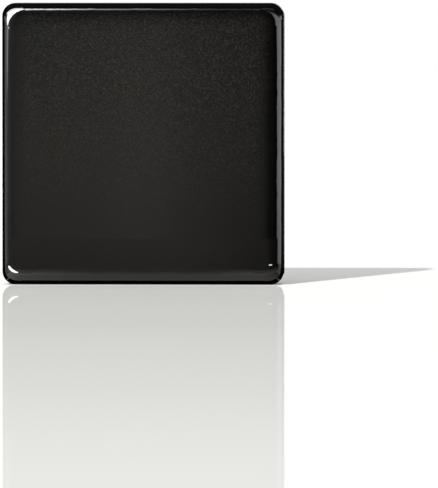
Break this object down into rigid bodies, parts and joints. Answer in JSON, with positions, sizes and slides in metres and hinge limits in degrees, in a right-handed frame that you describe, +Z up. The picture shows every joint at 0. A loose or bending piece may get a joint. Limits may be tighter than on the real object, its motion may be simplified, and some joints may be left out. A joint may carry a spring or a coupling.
{
  "type": "lip colour compact",
  "caption": "Square flat pillow-edged lip colour compact standing closed on its latch edge, with a hinged mirror lid, colour pans in a tray, a lip brush and a push-button catch.",
  "frame": {"origin": "middle of the edge that the closed case stands on, half way through its thickness", "axes": "+Z up the closed case from the latch edge to the hinge edge, +Y from the lid's face to the back, +X across the case, to the right seen from the lid's side"},
  "size_m": [0.062, 0.0126, 0.062],
  "materials": {
    "black_lacquer": "gloss",
    "black_inner": "satin",
    "mirror": "polished",
    "white_tape": "matt foam",
    "steel": "drawn",
    "spring_steel": "drawn wire",
    "glue": "satin",
    "aluminium": "satin",
    "black_handle": "gloss",
    "polished_ferrule": "polished",
    "bristle": "soft fibre",
    "rose_cream": "satin cream",
    "coral_cream": "satin cream",
    "red_cream": "satin cream",
    "nude_cream": "satin cream",
    "plum_cream": "satin cream",
    "brick_cream": "satin cream"
  },
  "bodies": {
    "base": {"base_shell": "black_lacquer", "pan_tray": "black_inner", "weight_plate": "steel", "button_spring": "spring_steel", "pan_glue_dots": "glue", "brush_handle": "black_handle", "brush_ferrule": "polished_ferrule", "brush_bristles": "bristle", "pan_1": "aluminium", "pan_2": "aluminium", "pan_3": "aluminium", "pan_4": "aluminium", "pan_5": "aluminium", "pan_6": "aluminium", "lipstick_1": "rose_cream", "lipstick_2": "coral_cream", "lipstick_3": "red_cream", "lipstick_4": "nude_cream", "lipstick_5": "plum_cream", "lipstick_6": "brick_cream"},
    "lid": {"lid_shell": "black_lacquer", "mirror_frame": "black_inner", "mirror": "mirror", "mirror_tape": "white_tape", "hinge_pin_left": "steel", "hinge_pin_right": "steel"},
    "button": {"push_button": "black_lacquer"}
  },
  "joints": [
    {"name": "lid_hinge", "type": "hinge", "parent": "base", "child": "lid", "pos_m": [0, -0.00125, 0.0598], "axis": [-1, 0, 0], "range_deg": [0, 120]},
    {"name": "button_press", "type": "slide", "parent": "base", "child": "button", "axis": [0, 0, 1], "range_m": [0, 0.0007], "stiffness_N_per_m": 400, "springref_m": -0.002, "deforming": ["button_spring"]}
  ]
}
